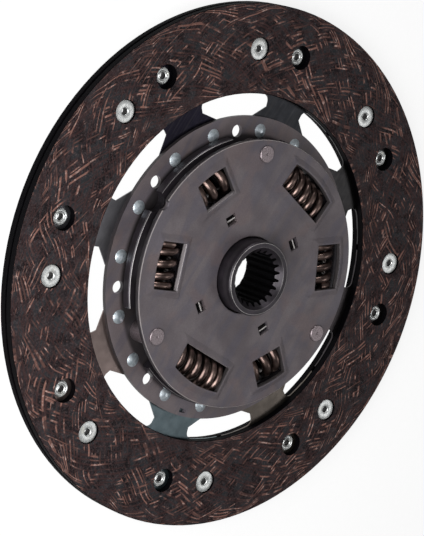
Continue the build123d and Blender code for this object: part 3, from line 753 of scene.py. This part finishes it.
class SpringKind:
    """One kind of damper spring: its body and its sizes in mm.

    keep is the share of its length that is left when the disc is twisted to the limit; it is
    stored but not used.
    """

    def __init__(self, body, outer_d, wire, pitch, length, keep):
        self.body = body
        self.outer_d = outer_d
        self.wire = wire
        self.length = length
        self.keep = keep
        ends = wire * 2 * (END_INSET + CLOSED_RISE * CLOSED_TURNS)
        self.turns = (length - ends) / pitch + 2 * CLOSED_TURNS


LONG = SpringKind(
    "long_springs", outer_d=SPRING_OUTER_D, wire=3.3, pitch=5.3, length=29.2, keep=0.748
)
INNER = SpringKind(
    "long_springs", outer_d=INNER_SPRING_OUTER_D, wire=1.8, pitch=3.6, length=29.2, keep=0.748
)
MEDIUM = SpringKind(
    "medium_springs", outer_d=SPRING_OUTER_D, wire=3.7, pitch=5.5, length=21.1, keep=0.754
)
SHORT = SpringKind(
    "short_springs", outer_d=SPRING_OUTER_D, wire=4.3, pitch=7.5, length=16.5, keep=0.776
)
# Word in the piece's name, kind, windows, and angle at which the wire starts in degrees; the
# inner spring of a nested pair starts a quarter turn on
SPRING_SETS = (
    ("long", LONG, LONG_DEGS, 0),
    ("inner", INNER, LONG_DEGS, 90),
    ("medium", MEDIUM, MEDIUM_DEGS, 0),
    ("short", SHORT, SHORT_DEGS, 0),
)


def colour_setting(name, description, code):
    """A colour that a user may change; code is its default."""
    return FloatVectorProperty(
        name=name,
        description=description,
        default=linear(code),
        size=4,
        min=0.0,
        max=1.0,
        subtype="COLOR",
    )


class DiscSettings(bpy.types.PropertyGroup):
    """Sizes that steer the facings' yarn, the coils and the floor"""

    yarn_count: IntProperty(
        name="Yarns",
        description="Yarns wound side by side in each direction",
        default=84,
        min=8,
    )
    yarn_waves: IntProperty(
        name="Waves",
        description="Waves that a yarn makes in one turn round the disc",
        default=2,
        min=1,
    )
    yarn_swing: FloatProperty(
        name="Swing",
        description="How far a yarn swings from the facing's middle, in mm",
        default=20.5,
        min=1.0,
    )
    yarn_width: FloatProperty(
        name="Yarn width",
        description="Width of a yarn where it shows, in mm",
        default=0.72,
        min=0.1,
    )
    facing_middle_r: FloatProperty(
        name="Facing middle",
        description="Radius of the middle of the facing, in mm",
        default=100.0,
        min=1.0,
    )
    spring_steps: IntProperty(
        name="Coil steps",
        description="Steps in one turn of a damper spring",
        default=36,
        min=12,
    )
    floor_size: FloatProperty(
        name="Floor",
        description="Width of the pale floor",
        default=6.0,
        min=1.0,
        unit="LENGTH",
        subtype="DISTANCE",
    )


class DiscColours(bpy.types.PropertyGroup):
    """Main colours of the disc's finishes; each pair is clouded into the other"""

    resin: colour_setting("Resin", "Dark resin between the yarns", "#130f11")
    resin_worn: colour_setting("Worn resin", "Resin where the face is worn paler", "#252022")
    yarn: colour_setting("Yarn", "Yarn with little copper in it", "#47332f")
    yarn_copper: colour_setting("Copper yarn", "Yarn with much copper in it", "#7a584f")
    rivet: colour_setting("Rivets", "Zinc plate of the facing rivets", "#dcdddb")
    rivet_mottle: colour_setting("Rivet mottle", "Duller spots of that plate", "#c0c3c3")
    dome: colour_setting("Domed rivets", "Bright zinc of the segments' rivets", "#dde6ec")
    dome_mottle: colour_setting("Dome mottle", "Duller spots of that zinc", "#b7c3cb")
    cover: colour_setting("Cover plate", "Phosphate of the cover plate", "#564f53")
    cover_light: colour_setting("Cover, lighter", "Its lighter clouds", "#655e61")
    retainer: colour_setting("Retainer plate", "Phosphate of the retainer plate", "#5a5254")
    retainer_light: colour_setting("Retainer, lighter", "Its lighter clouds", "#6a6163")
    hub: colour_setting("Hub", "Blackened steel of the hub", "#242125")
    hub_cloud: colour_setting("Hub, lighter", "Its lighter clouds", "#302b31")
    wire: colour_setting("Spring wire", "Tempered wire of the damper springs", "#5a4b47")
    wire_tarnish: colour_setting("Wire, lighter", "Its lighter tarnish", "#88746d")


class FacingsOperator(bpy.types.Operator):
    """Finish the two friction facings"""

    bl_idname = "clutch.facings"
    bl_label = "Facings"

    def execute(self, context):
        scene = context.scene
        material = facing_compound(scene.clutch_disc, scene.clutch_colours)
        paint(("front_facing", "rear_facing"), material)
        return {"FINISHED"}


class FacingRivetsOperator(bpy.types.Operator):
    """Form the hollow rivets of both facings"""

    bl_idname = "clutch.facing_rivets"
    bl_label = "Facing rivets"

    def execute(self, context):
        material = rivet_steel(context.scene.clutch_colours)
        dark = shaded_bore_steel()
        front = rivet_ring(
            "formed_front_rivets", FRONT_RIVET_DEG, FRONT_SEAT_Z, False, material, dark
        )
        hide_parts("front_facing_rivets")
        rear = rivet_ring(
            "formed_rear_rivets", REAR_RIVET_DEG, REAR_SEAT_Z, True, material, dark
        )
        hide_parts("rear_facing_rivets")
        return {"FINISHED"}


class SegmentsOperator(bpy.types.Operator):
    """Finish the eight cushion segments and their domed rivets"""

    bl_idname = "clutch.segments"
    bl_label = "Cushion segments"

    def execute(self, context):
        for number, tint in enumerate(SEGMENT_TINTS, start=1):
            material = tempered_steel(f"cushion_segment_tempered_{number}", tint)
            paint((f"cushion_segment_{number}",), material)
        paint(("segment_rivets",), dome_steel(context.scene.clutch_colours))
        smooth(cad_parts["segment_rivets"].data, DOME_CRISP_DEG)
        return {"FINISHED"}


class PlatesOperator(bpy.types.Operator):
    """Finish the two side plates and the stop pins"""

    bl_idname = "clutch.plates"
    bl_label = "Side plates"

    def execute(self, context):
        colours = context.scene.clutch_colours
        cover = plate_steel(
            "cover_plate_phosphate",
            colours.cover,
            colours.cover_light,
            COVER_RIM_R,
            COVER_FRONT_Z,
            edge_highlight=0.8,
            bend=0.9,
        )
        paint(("cover_plate",), cover)
        retainer = plate_steel(
            "retainer_plate_phosphate",
            colours.retainer,
            colours.retainer_light,
            RETAINER_RIM_R,
            RETAINER_FRONT_Z,
            shade_r=COVER_SHADE_R,
        )
        paint(("retainer_plate",), retainer)
        paint([f"stop_pin_{number}" for number in (1, 2, 3)], pin_steel())
        return {"FINISHED"}


class HubOperator(bpy.types.Operator):
    """Finish the splined hub"""

    bl_idname = "clutch.hub"
    bl_label = "Hub"

    def execute(self, context):
        paint(("hub",), hub_steel(context.scene.clutch_colours))
        return {"FINISHED"}


class SpringsOperator(bpy.types.Operator):
    """Wind the eight damper springs"""

    bl_idname = "clutch.springs"
    bl_label = "Damper springs"

    def execute(self, context):
        settings = context.scene.clutch_disc
        wire = spring_wire_steel(context.scene.clutch_colours)
        for number in (1, 2):
            for word, kind, degs, start_deg in SPRING_SETS:
                name = f"coil_{word}_spring_{number}"
                coil_spring(name, kind, degs[number - 1], start_deg, settings, wire)
        return {"FINISHED"}


class FrictionOperator(bpy.types.Operator):
    """Finish the bush, washers, pressure ring and disc spring"""

    bl_idname = "clutch.friction_device"
    bl_label = "Friction device"

    def execute(self, context):
        plastic = friction_plastic()
        paint(("rear_friction_washer", "centring_bush", "front_friction_washer"), plastic)
        paint(("pressure_ring", "disc_spring"), pressed_steel())
        return {"FINISHED"}


def seen_by(tree, *rays):
    """1 for any of these kinds of ray, such as Is Camera Ray, and 0 for the others."""
    path = add(tree, "ShaderNodeLightPath")
    seen, *others = (Field(tree, path.outputs[name]) for name in rays)
    for other in others:
        seen = seen.math("MAXIMUM", other)
    return seen


def floor_material():
    """Pale paper floor: white to the camera and in reflections, but it keeps a soft shadow.

    A lit panel under the disc keeps the paper white where the gaps show it.
    """
    surface = Surface("pale_paper_floor")
    tree = surface.tree
    seen = seen_by(tree, "Is Camera Ray", "Is Glossy Ray", "Is Transmission Ray")
    fibre = surface.noise(3.0)
    tone = surface.mix(fibre.between(0.3, 0.7), "#f4f4f4", "#f8f8f8")
    paper = add(tree, "ShaderNodeBsdfDiffuse", {"Color": tone, "Roughness": 0.6})
    white = add(tree, "ShaderNodeEmission", {"Color": linear("#ffffff"), "Strength": 1.0})
    panel = surface.radius().between(PANEL_INNER_R, PANEL_OUTER_R).flipped()
    plain = seen * (panel * PANEL_WHITE + FLOOR_WHITE)
    sockets = {0: plain, 1: paper.outputs[0], 2: white.outputs[0]}
    share = add(tree, "ShaderNodeMixShader", sockets)
    add(tree, "ShaderNodeOutputMaterial", {"Surface": share.outputs[0]})
    return surface.material


def studio_world():
    """World that is plain white to the camera and through glass, and a weak fill light."""
    world = bpy.data.worlds.new("studio_world")
    world.use_nodes = True
    tree = world.node_tree
    tree.nodes.clear()
    seen = seen_by(tree, "Is Camera Ray", "Is Transmission Ray")
    strength = seen * (1.0 - WORLD_FILL) + WORLD_FILL
    values = {"Color": linear("#ffffff"), "Strength": strength}
    white = add(tree, "ShaderNodeBackground", values)
    add(tree, "ShaderNodeOutputWorld", {"Surface": white.outputs[0]})
    return world


def area_light(name, place, width, power):
    """Square soft light that faces the disc."""
    data = bpy.data.lights.new(name, "AREA")
    data.size = width
    data.energy = power
    lamp = bpy.data.objects.new(name, data)
    lamp.location = place
    aim = Vector(LIGHT_TARGET) - Vector(place)
    lamp.rotation_euler = aim.to_track_quat("-Z", "Y").to_euler()
    bpy.context.scene.collection.objects.link(lamp)


class StageOperator(bpy.types.Operator):
    """Set up the floor, the soft lights, the world and the camera"""

    bl_idname = "clutch.stage"
    bl_label = "Studio"

    def execute(self, context):
        scene = context.scene
        half = scene.clutch_disc.floor_size / 2
        mesh = bpy.data.meshes.new("studio_floor")
        corners = [(-half, -half, 0), (half, -half, 0), (half, half, 0), (-half, half, 0)]
        mesh.from_pydata(corners, [], [(0, 1, 2, 3)])
        mesh.materials.append(floor_material())
        floor = bpy.data.objects.new("studio_floor", mesh)
        floor.location.z = -FLOOR_DROP
        scene.collection.objects.link(floor)

        scene.world = studio_world()
        scene.view_settings.view_transform = "Standard"

        camera_data = bpy.data.cameras.new("studio_camera")
        camera_data.sensor_width = CAMERA_SENSOR_MM
        camera_data.lens = CAMERA_LENS_MM
        camera_data.shift_x, camera_data.shift_y = CAMERA_SHIFT
        camera_data.clip_start = CAMERA_NEAR
        camera = bpy.data.objects.new("studio_camera", camera_data)
        pose = Matrix.Translation(CAMERA_PLACE)
        for degrees, axis in CAMERA_TURNS:
            pose = pose @ Matrix.Rotation(math.radians(degrees), 4, axis)
        camera.matrix_world = pose
        scene.collection.objects.link(camera)
        scene.camera = camera

        for light in LIGHTS:
            area_light(*light)
        return {"FINISHED"}


OPERATORS = (
    FacingsOperator,
    FacingRivetsOperator,
    SegmentsOperator,
    PlatesOperator,
    HubOperator,
    SpringsOperator,
    FrictionOperator,
    StageOperator,
)


class DiscPanel(bpy.types.Panel):
    """Settings and steps of the clutch disc's finish"""

    bl_idname = "CLUTCH_PT_finish"
    bl_label = "Clutch disc"
    bl_space_type = "VIEW_3D"
    bl_region_type = "UI"
    bl_category = "Clutch disc"

    def draw(self, context):
        scene = context.scene
        for settings, group in (
            (scene.clutch_disc, DiscSettings),
            (scene.clutch_colours, DiscColours),
        ):
            for name in group.__annotations__:
                self.layout.prop(settings, name)
        for operator in OPERATORS:
            self.layout.operator(operator.bl_idname)


CLASSES = (DiscSettings, DiscColours, *OPERATORS, DiscPanel)


def register():
    for cls in CLASSES:
        bpy.utils.register_class(cls)
    bpy.types.Scene.clutch_disc = PointerProperty(type=DiscSettings)
    bpy.types.Scene.clutch_colours = PointerProperty(type=DiscColours)


def unregister():
    del bpy.types.Scene.clutch_disc
    del bpy.types.Scene.clutch_colours
    for cls in reversed(CLASSES):
        bpy.utils.unregister_class(cls)


def main():
    register()
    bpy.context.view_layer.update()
    bpy.ops.clutch.facings()
    bpy.ops.clutch.facing_rivets()
    bpy.ops.clutch.segments()
    bpy.ops.clutch.plates()
    bpy.ops.clutch.hub()
    bpy.ops.clutch.springs()
    bpy.ops.clutch.friction_device()
    bpy.ops.clutch.stage()


if __name__ == "__main__":
    main()
